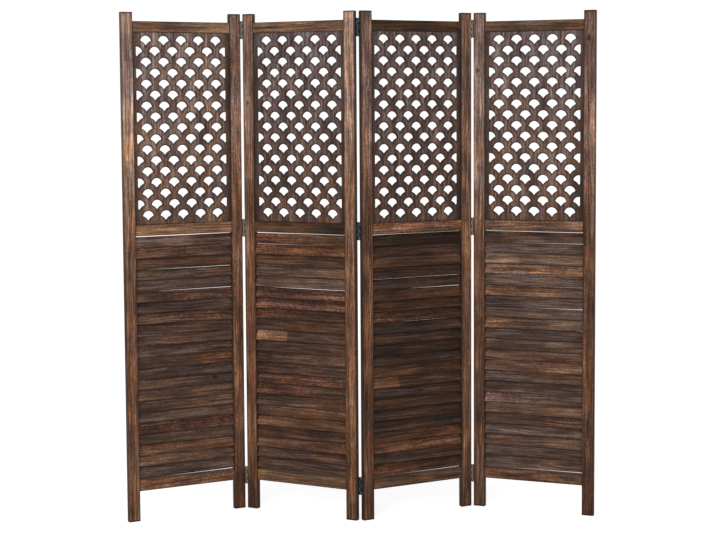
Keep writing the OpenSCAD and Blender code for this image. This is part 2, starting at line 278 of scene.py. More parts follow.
def even(lightness, warmth=0.0, figure=0.0):
    """Both ends of a board that has one tone all along."""
    return (tone(lightness, warmth, figure), tone(lightness, warmth, figure))


TREE_SIZE = 4.0


def random_start(source):
    """Where in its tree a board was cut, so that no two boards look alike."""
    return Vector(source.uniform(0, TREE_SIZE) for _ in range(3))


# ---------------------------------------------------------------- node building


ONE_VALUE_OPERATIONS = ("ABSOLUTE", "SIGN")


class Graph:
    """A node tree that is written line by line."""

    def __init__(self, tree):
        self.tree = tree

    def add(self, kind, values=None, **settings):
        made = self.tree.nodes.new(kind)
        for name, value in settings.items():
            setattr(made, name, value)
        for key, value in (values or {}).items():
            self.put(value, made.inputs[key])
        return made

    def put(self, value, socket):
        if isinstance(value, bpy.types.NodeSocket):
            self.tree.links.new(value, socket)
        else:
            socket.default_value = value

    def math(self, operation, first, second=0.0, third=0.0):
        values = {0: first}
        if operation not in ONE_VALUE_OPERATIONS:
            values[1] = second
        if operation == "MULTIPLY_ADD":
            values[2] = third
        return self.add("ShaderNodeMath", values, operation=operation).outputs[0]

    def vector(self, operation, first, second=(0, 0, 0)):
        made = self.add("ShaderNodeVectorMath", {0: first, 1: second}, operation=operation)
        return made.outputs["Value" if operation == "LENGTH" else "Vector"]

    def split(self, vector):
        made = self.add("ShaderNodeSeparateXYZ", {0: vector})
        return made.outputs[0], made.outputs[1], made.outputs[2]

    def join(self, x, y, z):
        return self.add("ShaderNodeCombineXYZ", {0: x, 1: y, 2: z}).outputs[0]

    def noise(self, vector, detail=2.0, roughness=0.5, distortion=0.0):
        values = {
            "Vector": vector,
            "Scale": 1.0,
            "Detail": detail,
            "Roughness": roughness,
            "Distortion": distortion,
        }
        return self.add("ShaderNodeTexNoise", values).outputs["Fac"]

    def ramp(self, value, low, high, to_low=0.0, to_high=1.0, smooth=True):
        """value from low..high to to_low..to_high, held at both ends."""
        values = {
            "Value": value,
            "From Min": low,
            "From Max": high,
            "To Min": to_low,
            "To Max": to_high,
        }
        kind = "SMOOTHSTEP" if smooth else "LINEAR"
        return self.add("ShaderNodeMapRange", values, interpolation_type=kind).outputs[0]

    def blend(self, factor, first, second):
        """The first colour at factor 0, the second one at 1."""
        values = {0: factor, 6: first, 7: second}
        return self.add("ShaderNodeMix", values, data_type="RGBA").outputs[2]


def new_group(name, inputs, outputs):
    """An empty node group with its sockets, its graph and its input and output nodes."""
    tree = bpy.data.node_groups.new(name, "ShaderNodeTree")
    for socket, kind in inputs.items():
        tree.interface.new_socket(socket, in_out="INPUT", socket_type=kind)
    for socket, kind in outputs.items():
        tree.interface.new_socket(socket, in_out="OUTPUT", socket_type=kind)
    graph = Graph(tree)
    return tree, graph, graph.add("NodeGroupInput").outputs, graph.add("NodeGroupOutput").inputs


def new_material(name):
    """A material with its graph, its Principled shader and its output."""
    material = bpy.data.materials.new(name)
    material.use_nodes = True
    material.node_tree.nodes.clear()
    graph = Graph(material.node_tree)
    shader = graph.add("ShaderNodeBsdfPrincipled")
    graph.add("ShaderNodeOutputMaterial", {"Surface": shader.outputs[0]})
    return material, graph, shader


def group_node(graph, tree, values):
    made = graph.add("ShaderNodeGroup", node_tree=tree)
    for key, value in values.items():
        graph.put(value, made.inputs[key])
    return made.outputs


def attribute(graph, name, output="Vector"):
    return graph.add("ShaderNodeAttribute", attribute_name=name).outputs[output]


# ---------------------------------------------------------------- wood


def grain_group():
    """Bands, streaks, flecks, pores and curl of a sawn board, all from 0 to 1."""
    inputs = {
        "Place": "NodeSocketVector",
        "Knot place": "NodeSocketVector",
        "Figure": "NodeSocketFloat",
    }
    names = ("Bands", "Streaks", "Flecks", "Fibre", "Pores", "Curl", "Tint", "Patches", "Knot")
    tree, g, given, out = new_group("Board grain", inputs, dict.fromkeys(names, "NodeSocketFloat"))
    along, across, depth = g.split(given["Place"])
    # the grain runs round a knot
    knot_along, knot_across, knot_strength = g.split(given["Knot place"])
    knot_away = g.vector("LENGTH", g.join(g.math("MULTIPLY", knot_along, 0.9), knot_across, 0.0))
    push = g.ramp(knot_away, 0.0, 0.030, 0.008, 0.0)
    push = g.math("MULTIPLY", push, g.math("SIGN", knot_across))
    # and wanders along the board, more so where it is figured
    slow = g.noise(g.join(g.math("MULTIPLY", along, 2.6), g.math("MULTIPLY", across, 12.0), depth))
    reach = g.math("MULTIPLY_ADD", given["Figure"], 0.045, 0.018)
    wander = g.math("MULTIPLY", g.math("SUBTRACT", slow, 0.5), reach)
    across = g.math("ADD", g.math("SUBTRACT", across, push), wander)

    def stretched(lengthwise, crosswise, detail, roughness=0.5, aside=0.0):
        place = g.join(
            g.math("MULTIPLY", along, lengthwise),
            g.math("MULTIPLY", across, crosswise),
            g.math("MULTIPLY_ADD", depth, crosswise, aside),
        )
        return g.noise(place, detail, roughness)

    curl_place = g.join(
        g.math("MULTIPLY_ADD", across, 60.0, g.math("MULTIPLY", along, 80.0)),
        g.math("MULTIPLY", across, 90.0),
        g.math("MULTIPLY", depth, 40.0),
    )
    g.put(g.ramp(stretched(2.2, 58.0, 2.0), 0.32, 0.68), out["Bands"])
    g.put(g.ramp(stretched(8.0, 235.0, 2.0, 0.6), 0.31, 0.69), out["Streaks"])
    g.put(g.ramp(stretched(110.0, 210.0, 2.0, 0.6, 9.0), 0.32, 0.68), out["Flecks"])
    g.put(g.ramp(stretched(34.0, 950.0, 1.0), 0.28, 0.72), out["Fibre"])
    g.put(g.ramp(stretched(75.0, 1900.0, 0.0), 0.60, 0.70), out["Pores"])
    g.put(g.ramp(g.noise(curl_place, 2.0, 0.6, 0.5), 0.34, 0.66), out["Curl"])
    g.put(g.ramp(stretched(4.5, 110.0, 2.0, 0.6, 5.0), 0.32, 0.68), out["Tint"])
    g.put(g.ramp(stretched(9.0, 14.0, 2.0, 0.5, 2.0), 0.35, 0.65), out["Patches"])
    knot = g.ramp(knot_away, 0.002, 0.012, 1.0, 0.0)
    g.put(g.math("MULTIPLY", knot, knot_strength), out["Knot"])
    return tree


def stain_group(grain):
    """The burnt and brushed stain over the grain, with painted light and shade: colour, roughness and
    height.
    """
    sockets = {
        "Place": "NodeSocketVector",
        "Knot place": "NodeSocketVector",
        "Edge": "NodeSocketVector",
        "Tone": "NodeSocketVector",
        "Lift": "NodeSocketFloat",
        "Foot": "NodeSocketFloat",
        "Burn": "NodeSocketFloat",
        "Stain": "NodeSocketColor",
        "Dark": "NodeSocketColor",
        "Contrast": "NodeSocketFloat",
        "Edge burn and shade": "NodeSocketFloat",
        "Fade": "NodeSocketFloat",
    }
    results = {
        "Colour": "NodeSocketColor",
        "Roughness": "NodeSocketFloat",
        "Height": "NodeSocketFloat",
    }
    tree, g, given, out = new_group("Burnt stain and painted shading", sockets, results)
    lightness, warmth, figure = g.split(given["Tone"])
    places = {"Place": given["Place"], "Knot place": given["Knot place"], "Figure": figure}
    wood = group_node(g, grain, places)
    height_share, across_share, _ = g.split(given["Edge"])
    end_share = g.math("ABSOLUTE", height_share)
    across_share = g.math("ABSOLUTE", across_share)

    def about_middle(name, amount):
        return g.math("MULTIPLY", g.math("SUBTRACT", wood[name], 0.5), amount)

    # how light the stain lies, in doublings
    curl = g.math("MULTIPLY", about_middle("Curl", 0.9), figure)
    detail = g.math("ADD", about_middle("Bands", 0.6), about_middle("Streaks", 1.1))
    flecks = g.math("MULTIPLY", about_middle("Flecks", 1.0), g.math("MULTIPLY_ADD", figure, 0.6, 0.34))
    detail = g.math("ADD", detail, flecks)
    detail = g.math("ADD", detail, about_middle("Fibre", 0.5))
    detail = g.math("ADD", detail, about_middle("Patches", 0.45))
    detail = g.math("MULTIPLY", g.math("ADD", detail, curl), given["Contrast"])
    # Lift makes the upper half lighter: partly painted light from above, partly the board's own tone.
    lift = g.math("MULTIPLY", g.ramp(height_share, -0.08, 0.5), given["Lift"])
    lift = g.math("MULTIPLY", g.ramp(height_share, 0.5, 0.95, 1.0, 0.8), lift)
    foot = g.math("MULTIPLY", g.ramp(height_share, -0.7, -0.95), given["Foot"])
    stops = g.math("ADD", g.math("ADD", detail, lightness), g.math("SUBTRACT", lift, foot))
    colour = g.vector("SCALE", given["Stain"])
    g.put(g.math("POWER", 2.0, stops), colour.node.inputs["Scale"])

    # reddish streaks, orange or bluish grey by the board, paler and bluer wherever the stain lies
    # lighter, in the brushed streaks and in the painted light at the posts' tops
    red = g.vector("MULTIPLY", colour, (1.26, 0.89, 0.89))
    reddened = g.math("MULTIPLY", wood["Streaks"], g.math("MULTIPLY", figure, 1.6))
    colour = g.blend(reddened, colour, red)
    cast = g.math("ADD", about_middle("Tint", 1.0), about_middle("Patches", 0.9))
    faded = g.math("MULTIPLY", g.ramp(height_share, 0.1, 0.85), given["Fade"])
    cast = g.math("SUBTRACT", g.math("ADD", cast, warmth), faded)
    warm = g.vector("MULTIPLY", colour, (1.15, 0.97, 0.72))
    cool = g.vector("MULTIPLY", colour, (0.86, 1.0, 1.28))
    colour = g.blend(g.ramp(cast, 0.0, 1.0, smooth=False), colour, warm)
    colour = g.blend(g.ramp(cast, 0.0, -1.0, smooth=False), colour, cool)
    worn = g.vector("MULTIPLY", colour, (0.84, 1.10, 1.33))
    colour = g.blend(g.ramp(stops, 0.0, 1.5), colour, worn)

    # pores, knots and burnt edges go dark; the darkened edges and ends are partly burnt stain and partly
    # painted shade on rounded edges and in the joints between parts
    colour = g.blend(g.math("MULTIPLY", wood["Pores"], 0.35), colour, given["Dark"])
    colour = g.blend(wood["Knot"], colour, given["Dark"])
    across_share = g.math("ADD", across_share, about_middle("Streaks", 0.10))
    rim = g.math("MAXIMUM", g.ramp(across_share, 0.80, 0.97), g.ramp(end_share, 0.991, 0.996))
    rim = g.math("MULTIPLY", rim, given["Edge burn and shade"])
    rim = g.math("MAXIMUM", rim, g.ramp(given["Burn"], 0.0, 0.55, 0.0, 0.65))
    colour = g.blend(rim, colour, given["Dark"])
    g.put(colour, out["Colour"])

    roughness = g.math("MULTIPLY_ADD", wood["Streaks"], -0.12, 0.62)
    roughness = g.math("MULTIPLY_ADD", wood["Pores"], 0.15, roughness)
    g.put(roughness, out["Roughness"])
    raised = g.math("MULTIPLY_ADD", wood["Streaks"], 0.5, g.math("MULTIPLY", wood["Fibre"], 0.30))
    g.put(g.math("MULTIPLY_ADD", wood["Pores"], -0.4, raised), out["Height"])
    return tree


def wood_material(name, stain, settings, relief, contrast, edge_burn_and_shade=0.75, fade=0.0):
    """A burnt and brushed board of the given stain, greyer at its far end by fade."""
    groups = bpy.data.node_groups
    grain = groups.get("Board grain") or grain_group()
    finish = groups.get("Burnt stain and painted shading") or stain_group(grain)
    material, g, shader = new_material(name)
    wood = group_node(
        g,
        finish,
        {
            "Place": attribute(g, "grain"),
            "Knot place": attribute(g, "knot"),
            "Edge": attribute(g, "edge"),
            "Tone": attribute(g, "tone"),
            "Lift": attribute(g, "lift", "Fac"),
            "Foot": attribute(g, "foot", "Fac"),
            "Burn": attribute(g, "burn", "Fac"),
            "Stain": (*stain, 1.0),
            "Dark": (*settings.stain_dark, 1.0),
            "Contrast": contrast,
            "Edge burn and shade": edge_burn_and_shade,
            "Fade": fade,
        },
    )
    bump = g.add("ShaderNodeBump", {"Height": wood["Height"], "Distance": relief, "Strength": 0.8})
    g.put(wood["Colour"], shader.inputs["Base Color"])
    g.put(wood["Roughness"], shader.inputs["Roughness"])
    g.put(bump.outputs[0], shader.inputs["Normal"])
    shader.inputs["Specular IOR Level"].default_value = 0.1
    return material


def soften(bm, edges, offset, segments):
    """Rounds edges over by the given offset."""
    bmesh.ops.bevel(
        bm,
        geom=edges,
        offset=offset,
        segments=segments,
        profile=0.5,
        affect="EDGES",
        clamp_overlap=True,
        material=-1,
    )


def is_square(face, across):
    """Whether a face is square to a direction."""
    return abs(face.normal.dot(across)) > SQUARE_COSINE


def is_rim(edge, across):
    """Whether an edge lies between a face square to a direction and one that isn't."""
    faces = edge.link_faces
    return len(faces) == 2 and is_square(faces[0], across) != is_square(faces[1], across)


def rims(bm, across):
    return [edge for edge in bm.edges if is_rim(edge, across)]


def dress_board(bm, node, place, axes, tones, start, lift=0.0, foot=0.0, knot=None):
    """Marks a bmesh that was copied from a CAD node as one board."""
    low, high = box_in(place, node)
    centre = (low + high) / 2
    back = place.inverted()
    board = Board(axes, centre, (high - low) / 2, tones, lift, foot, knot)
    board.mark(bm, bm.verts, lambda vertex: back @ vertex.co, start)


# Axes along, across and through a board that stands upright, and one that lies level.
LENGTHWISE_Z = (2, 0, 1)
LENGTHWISE_X = (0, 2, 1)

# Heights of the brushed grain that the wood's bump shows.
COARSE_RELIEF = 0.35 * MM
FINE_RELIEF = 0.25 * MM

# Each post's tone, how much lighter it is above (partly painted light from above, partly the post's own
# tone) and darker at its foot, and its knot.
POST_TONES = {
    (1, "left"): (even(-0.06, 0.15, 0.05), 1.7, -0.1, None),
    (1, "right"): (even(0.05, 0.15, 0.2), 0.65, 0.95, None),
    (2, "left"): (even(0.06, 0.35, 0.1), 0.8, 0.75, (0.550, -0.002, 0.5)),
    (2, "right"): (even(0.08, 0.35, 0.15), 1.45, 0.35, None),
    (3, "left"): (even(-0.58, 0.1, 0.1), 1.0, 0.3, (0.580, 0.010, 0.5)),
    (3, "right"): (even(0.20, 0.1, 0.1), 0.05, 0.9, (0.575, 0.010, 0.5)),
    (4, "left"): (even(-0.33, -0.1, 0.1), 1.6, -0.2, (0.655, -0.004, 0.75)),
    (4, "right"): (even(-0.4, 0.1, 0.2), 1.25, 0.3, (0.758, -0.003, 0.85)),
}


class SCREEN_OT_posts(bpy.types.Operator):
    """Eight posts with rounded upright edges and softened sawn ends"""

    bl_idname = "screen.posts"
    bl_label = "Posts"

    def execute(self, context):
        settings = context.scene.screen_wood
        material = wood_material(
            "Post wood", settings.post_colour, settings, COARSE_RELIEF, contrast=1.6, fade=0.85
        )
        source = random.Random(SEED + 1)
        for (number, side), (tones, lift, foot, knot) in POST_TONES.items():
            node = f"panel_{number}_{side}_stile"
            bm = merged_copy(node)
            soften(bm, rims(bm, Vector((0, 0, 1))), settings.end_radius, 2)
            start = random_start(source)
            dress_board(bm, node, PLACES[number], LENGTHWISE_Z, tones, start, lift, foot, knot)
            name = f"post_{number}_{side}"
            finish_piece(bm, name, f"panel_{number}", material, [node])
        return {"FINISHED"}


# Tones of each rail's left and right end.
RAIL_TONES = {
    (1, "top"): (tone(-0.15, 0.0), tone(0.15, 0.3)),
    (1, "middle"): even(0.5, 0.6),
    (1, "bottom"): (tone(0.2, 0.2, 0.3), tone(-0.05, 0.0, 0.4)),
    (2, "top"): (tone(0.0, 0.2), tone(0.25, 0.3)),
    (2, "middle"): (tone(-0.95, 0.5), tone(-1.6, 0.0)),
    (2, "bottom"): (tone(0.1, 0.7), tone(-0.2, 0.3)),
    (3, "top"): even(-2.2, 0.5),
    (3, "middle"): even(0.05, 0.5, 0.35),
    (3, "bottom"): even(-0.65, 0.1),
    (4, "top"): even(-0.7, 0.1),
    (4, "middle"): even(0.0, -0.2, 0.3),
    (4, "bottom"): even(-0.75, 0.1, 0.25),
}


class SCREEN_OT_rails(bpy.types.Operator):
    """Three rails in each panel, with rounded long edges"""

    bl_idname = "screen.rails"
    bl_label = "Rails"

    def execute(self, context):
        settings = context.scene.screen_wood
        material = wood_material(
            "Rail wood", settings.rail_colour, settings, COARSE_RELIEF, contrast=1.6
        )
        source = random.Random(SEED + 2)
        for (number, level), tones in RAIL_TONES.items():
            node = f"panel_{number}_{level}_rail"
            bm = merged_copy(node)
            start = random_start(source)
            dress_board(bm, node, PLACES[number], LENGTHWISE_X, tones, start)
            name = f"rail_{number}_{level}"
            finish_piece(bm, name, f"panel_{number}", material, [node])
        return {"FINISHED"}


# Tones of each pierced board's lower and upper end; every board is lighter at its upper end, which is
# painted light from above.
FRETWORK_TONES = {
    1: (tone(0.3, 0.3, 0.2), tone(0.9, -0.2, 0.2)),
    2: (tone(-0.1, 0.0, 0.2), tone(0.5, -1.0, 0.1)),
    3: (tone(-0.3, 0.0, 0.2), tone(0.35, -0.8, 0.1)),
    4: (tone(0.0, 0.2, 0.2), tone(0.6, -0.7, 0.1)),
}


def burn_cuts(bm, across, width):
    """Insets the flat faces by the width of the burnt ring, which fades over it."""
    bm.normal_update()
    flat = [face for face in bm.faces if is_square(face, across)]
    bmesh.ops.inset_region(
        bm, faces=flat, thickness=width, use_boundary=True, use_even_offset=True
    )
    bm.normal_update()
    burn = bm.verts.layers.float["burn"]
    for vertex in bm.verts:
        inside = all(is_square(face, across) for face in vertex.link_faces)
        vertex[burn] = 0.0 if inside else 1.0


class SCREEN_OT_fretwork(bpy.types.Operator):
    """Four pierced boards with softened cuts"""

    bl_idname = "screen.fretwork"
    bl_label = "Fretwork"

    def execute(self, context):
        settings = context.scene.screen_wood
        material = wood_material(
            "Fretwork wood", settings.fret_colour, settings, FINE_RELIEF, contrast=1.5
        )
        source = random.Random(SEED + 3)
        for number in PANELS:
            node = f"panel_{number}_fretwork"
            place = PLACES[number]
            bm = merged_copy(node)
            front = place.to_3x3() @ Vector((0, 1, 0))
            soften(bm, rims(bm, front), settings.cut_radius, 1)
            burn_cuts(bm, front, settings.burn_width)
            tones = FRETWORK_TONES[number]
            dress_board(bm, node, place, LENGTHWISE_Z, tones, random_start(source))
            finish_piece(
                bm, f"fretwork_{number}", f"panel_{number}", material, [node]
            )
        return {"FINISHED"}


# ---------------------------------------------------------------- slats

SLAT_COUNT = 22
SLAT_SLOT_WIDTH = 37.4 * MM
SLAT_WIDTH = 37.9 * MM
SLAT_THICKNESS = 3.6 * MM
SLAT_TILT = math.radians(23)
SLAT_PARTS = 6

# Tones of the kinds of board that the slats are cut from.
SLAT_KINDS = {
    "pale": tone(0.65, -0.25, 0.05),
    "tan": tone(0.35, 0.25, 0.1),
    "orange": tone(0.4, 0.8, 0.4),
    "peach": tone(1.3, 0.7, 0.4),
    "bright": tone(0.85, 0.35, 0.3),
    "curly": tone(0.6, -0.1, 0.6),
    "olive": tone(0.4, -0.05, 0.05),
    "grey": tone(0.0, -0.4, 0.05),
    "brown": tone(-0.05, 0.1, 0.1),
    "red": tone(-0.05, 0.1, 0.6),
    "dark": tone(-0.4, 0.0, 0.1),
    "blue": tone(-0.3, -1.1, 0.05),
    "black": tone(-0.75, -0.3, 0.0),
}

# How a panel's slats differ from those kinds.
SLAT_PANELS = {1: tone(0.05), 2: tone(0.0, 0.15), 3: tone(-0.6, 0.45), 4: tone(0.4)}

# The kind of each slat from the top one down, left to right where its ends differ.
SLAT_BOARDS = {
    1: (
        "pale-brown orange-grey dark grey-dark blue-grey brown-red blue-grey brown-red"
        " dark-brown brown-grey grey-brown grey-orange blue tan-blue brown-dark grey-tan grey-tan"
        " red dark-grey orange-brown tan blue"
    ),
    2: (
        "red-brown orange dark-brown grey-tan pale red red red-dark dark peach-grey dark"
        " dark-tan dark-grey red red-dark grey-brown brown-orange orange-dark dark tan-orange"
        " brown-dark dark-brown"
    ),
    3: (
        "black dark-blue olive-pale dark-blue blue-dark brown-tan dark-brown red-dark blue blue"
        " black black brown-dark bright-brown blue dark blue-dark dark-blue grey-orange orange"
        " blue-dark orange-dark"
    ),
    4: (
        "dark-brown grey pale bright pale-grey orange-brown blue-grey grey orange-pale blue"
        " grey-brown tan-brown tan-orange grey-brown dark-blue curly-grey tan-brown dark grey"
        " brown blue-black blue-dark"
    ),
}

# Joints that let light through, by panel and number from the middle rail down: how much
# wider than the rest the gap is at its left and right end, in millimetres.
OPEN_JOINTS = {
    (1, 0): (0.2, -1.3),
    (1, 1): (0.1, 0.3),
    (1, 2): (-0.4, -0.4),
    (1, 3): (-0.2, 0.9),
    (1, 4): (0.4, -0.3),
    (1, 5): (-0.2, 1.6),
    (1, 9): (0.9, 0.3),
    (1, 22): (-3.0, -0.9),
    (2, 0): (0.2, -1.2),
    (2, 1): (0.5, -0.4),
    (2, 3): (0.4, 0.2),
    (2, 5): (-0.1, 1.3),
    (2, 8): (0.9, 0.4),
    (2, 22): (-3.0, -2.6),
    (3, 0): (-0.9, -1.6),
    (3, 2): (-0.4, 0.1),
    (3, 4): (0.6, 0.8),
    (3, 5): (-0.4, 1.5),
    (3, 8): (0.2, 0.6),
    (3, 22): (-3.2, -1.6),
    (4, 0): (-1.4, -0.9),
    (4, 1): (-0.2, 0.9),
    (4, 2): (0.1, -0.1),
    (4, 5): (0.0, 0.7),
    (4, 7): (-0.3, 1.7),
    (4, 9): (-0.6, 1.2),
    (4, 21): (1.6, 0.4),
    (4, 22): (-3.2, -1.5),
}

# Slats joined from two boards, by panel and slat: the share of the length left of the joint.
SLAT_SCARFS = {(1, 12): 0.66, (2, 10): 0.35, (2, 12): 0.18, (3, 14): 0.30}
SCARF_WIDTH = 1.5 * MM

# Knots by panel and slat: how far right of and above the slat's middle, and how dark.
SLAT_KNOTS = {
    (1, 14): (0.104, 0.004, 0.8),
    (3, 15): (0.012, -0.002, 0.7),
    (3, 9): (0.0, 0.006, 0.7),
}


def slat_heights(place, node):
    """Heights of the middles of a panel's slats, from the top one down."""
    low, high = box_in(place, node)
    half = (SLAT_SLOT_WIDTH * math.cos(SLAT_TILT) + SLAT_THICKNESS * math.sin(SLAT_TILT)) / 2
    pitch = (high.z - low.z - 2 * half) / (SLAT_COUNT - 1)
    return [high.z - half - index * pitch for index in range(SLAT_COUNT)]


def straight_slat(length, radius):
    """One slat at the origin, with rounded long edges."""
    bm = board_bmesh()
    bmesh.ops.create_cube(bm, size=1.0)
    bmesh.ops.scale(bm, vec=(length, SLAT_THICKNESS, SLAT_WIDTH), verts=bm.verts)

    def lengthwise():
        return [
            edge for edge in bm.edges if abs(edge.verts[0].co.x - edge.verts[1].co.x) > MM
        ]

    bmesh.ops.subdivide_edges(bm, edges=lengthwise(), cuts=SLAT_PARTS - 1, use_grid_fill=True)
    soften(bm, lengthwise(), radius, 2)
    return bm


def cut_scarf(bm, middle):
    """Two cuts across a slat, so that its tone changes over a narrow joint."""
    for side in (-0.5, 0.5):
        bmesh.ops.bisect_plane(
            bm,
            geom=bm.verts[:] + bm.edges[:] + bm.faces[:],
            plane_co=(middle + side * SCARF_WIDTH, 0, 0),
            plane_no=(1, 0, 0),
        )


def append_bmesh(bm, part):
    """Adds a bmesh to another one and frees it."""
    mesh = bpy.data.meshes.new("part")
    part.to_mesh(mesh)
    part.free()
    bm.from_mesh(mesh)
    bpy.data.meshes.remove(mesh)


def joint_opening(number, joint, share):
    """How much wider than the rest a joint is, at a share of its length."""
    left, right = OPEN_JOINTS.get((number, joint), (0.0, 0.0))
    return (left + (right - left) * share) * MM


class SCREEN_OT_slats(bpy.types.Operator):
    """Twenty-two uneven louvre slats in each panel"""

    bl_idname = "screen.slats"
    bl_label = "Louvre slats"

    def execute(self, context):
        settings = context.scene.screen_wood
        # On the slats the darkened long edges are painted shadow lines between the slats.
        material = wood_material(
            "Slat wood", settings.slat_colour, settings, COARSE_RELIEF, contrast=1.5, edge_burn_and_shade=0.5
        )
        source = random.Random(SEED + 4)
        for number in PANELS:
            node = f"panel_{number}_slats"
            place = PLACES[number]
            low, high = box_in(place, node)
            length = high.x - low.x
            centre = (low + high) / 2
            boards = SLAT_BOARDS[number].split()
            bm = board_bmesh()
            for index, height in enumerate(slat_heights(place, node)):
                one = straight_slat(length, settings.slat_edge_radius)
                ordinal = index + 1
                kinds = boards[index].split("-")
                spread = SLAT_PANELS[number] + tone(source.gauss(0, 0.06), source.gauss(0, 0.1))
                tones = (SLAT_KINDS[kinds[0]] + spread, SLAT_KINDS[kinds[-1]] + spread)
                half = Vector((length, SLAT_THICKNESS, SLAT_WIDTH)) / 2
                knot = SLAT_KNOTS.get((number, ordinal))
                scarf = SLAT_SCARFS.get((number, ordinal))
                if scarf is not None:
                    cut_scarf(one, (scarf - 0.5) * length)
                board = Board(LENGTHWISE_X, Vector(), half, tones, knot=knot, scarf=scarf)
                board.mark(one, one.verts, lambda vertex: vertex.co, random_start(source))
                bow = source.uniform(-1, 1) * settings.slat_bow
                trims = [source.uniform(0, settings.slat_trim) for _ in range(2)]
                for vertex in one.verts:
                    share = vertex.co.x / length + 0.5
                    above = vertex.co.z > 0
                    joint = index if above else index + 1
                    shared = 2 if 0 < joint < SLAT_COUNT else 1
                    trim = trims[above] + joint_opening(number, joint, share) / shared
                    vertex.co.z -= trim if above else -trim
                    vertex.co.z += bow * (1 - (2 * share - 1) ** 2)
                lean = Matrix.Rotation(-SLAT_TILT, 4, "X")
                shift = Matrix.Translation((centre.x, centre.y, height))
                bmesh.ops.transform(one, matrix=place @ shift @ lean, verts=one.verts)
                append_bmesh(bm, one)
            finish_piece(
                bm, f"slats_{number}", f"panel_{number}", material, [node]
            )
        return {"FINISHED"}


# ---------------------------------------------------------------- metal and dowels


def paint(nodes, material):
    """Gives CAD nodes that keep their own shape a finish."""
    for node in nodes:
        mesh = frame["nodes"][node].data
        mesh.materials.clear()
        mesh.materials.append(material)


# Mottles in a metre, on sheet metal and on the smaller turned pieces.
SHEET_MOTTLES = 300.0
TURNED_MOTTLES = 500.0


def metal_material(name, colour, roughness, scale, metallic=0.0):
    """Painted or bare metal with a mottled sheen and small scuffs."""
    material, g, shader = new_material(name)
    place = g.add("ShaderNodeTexCoord").outputs["Object"]
    mottle = g.noise(g.vector("MULTIPLY", place, (scale, scale, scale)), 4.0, 0.6)
    scuffs = g.noise(g.vector("MULTIPLY", place, (scale * 5, scale * 5, scale)))
    scuff = g.ramp(scuffs, 0.62, 0.7)
    base = (*colour, 1.0)
    worn = tuple(min(1.0, 2.5 * c + 0.02) for c in colour) + (1.0,)
    g.put(g.blend(g.math("MULTIPLY", scuff, 0.5), base, worn), shader.inputs["Base Color"])
    g.put(g.ramp(mottle, 0.3, 0.7, roughness - 0.08, roughness + 0.1), shader.inputs["Roughness"])
    bump = g.add("ShaderNodeBump", {"Height": mottle, "Distance": 0.05 * MM, "Strength": 0.5})
    g.put(bump.outputs[0], shader.inputs["Normal"])
    shader.inputs["Metallic"].default_value = metallic
    return material


def node_names(ending):
    return [name for name in frame["nodes"] if name.endswith(ending)]


class SCREEN_OT_hinges(bpy.types.Operator):
    """Finishes of the hinge leaves, pins and screws"""

    bl_idname = "screen.hinges"
    bl_label = "Hinges"

    def execute(self, context):
        settings = context.scene.screen_metal
        black = metal_material("Black hinge", settings.hinge_colour, 0.5, SHEET_MOTTLES)
        # The outer hinges get a lighter colour as a painted highlight.
        dull = metal_material("Hinge with painted highlight", settings.highlit_hinge_colour, 0.6, SHEET_MOTTLES)
        steel = metal_material("Pin steel", settings.pin_colour, 0.35, TURNED_MOTTLES, metallic=1.0)
        screw = metal_material("Black screw", settings.screw_colour, 0.4, TURNED_MOTTLES)
        leaves = node_names("_leaf")
        paint([name for name in leaves if name.startswith("hinge_23")], black)
        paint([name for name in leaves if not name.startswith("hinge_23")], dull)
        paint(node_names("_pins"), steel)
        paint(node_names("_screws"), screw)
        return {"FINISHED"}


DOWEL_DARK = (0.42, 0.27, 0.13, 1.0)
DOWEL_PALE = (0.62, 0.44, 0.25, 1.0)
DOWEL_FIBRES = (40.0, 40.0, 900.0)


class SCREEN_OT_dowels(bpy.types.Operator):
    """Pale raw wood of the dowels inside the rail ends"""

    bl_idname = "screen.dowels"
    bl_label = "Dowels"

    def execute(self, context):
        material, g, shader = new_material("Dowel wood")
        place = g.add("ShaderNodeTexCoord").outputs["Object"]
        fibres = g.noise(g.vector("MULTIPLY", place, DOWEL_FIBRES), 3.0, 0.6)
        colour = g.blend(g.ramp(fibres, 0.3, 0.7), DOWEL_DARK, DOWEL_PALE)
        g.put(colour, shader.inputs["Base Color"])
        g.put(g.ramp(fibres, 0.3, 0.7, 0.65, 0.8), shader.inputs["Roughness"])
        bump = g.add("ShaderNodeBump", {"Height": fibres, "Distance": 0.1 * MM, "Strength": 0.5})
        g.put(bump.outputs[0], shader.inputs["Normal"])
        paint(node_names("_dowels"), material)
        return {"FINISHED"}


# ---------------------------------------------------------------- stage


KEY_PLACE = (-1.8, -4.4, 1.7)
FILL_PLACE = (3.2, -3.8, 1.5)
LAMP_AIM = (0, 0, 0.95)
LAMP_SIDE = 2.6

SENSOR_WIDTH = 36.0
CAMERA_ASIDE = 2.0 * MM

BACKGROUND_GLOW = 1.02
FLOOR_GLOW = 0.62
FLOOR_RADIUS = 60.0
FLOOR_COLOUR = (0.82, 0.82, 0.82, 1.0)
FLOOR_ROUGHNESS = 0.9


def area_lamp(name, place, power):
    """A large square lamp that faces the middle of the screen."""
    lamp = bpy.data.lights.new(name, "AREA")
    lamp.shape = "SQUARE"
    lamp.size = LAMP_SIDE
    lamp.energy = power
    holder = bpy.data.objects.new(name, lamp)
    holder.location = place
    holder.rotation_euler = (Vector(LAMP_AIM) - Vector(place)).to_track_quat("-Z", "Y").to_euler()
    bpy.context.scene.collection.objects.link(holder)


def seen_directly(g):
    """1 for camera, mirror and see-through rays, which see the white background."""
    path = g.add("ShaderNodeLightPath").outputs
    seen = g.math("MAXIMUM", path["Is Camera Ray"], path["Is Glossy Ray"])
    return g.math("MAXIMUM", seen, path["Is Transmission Ray"])


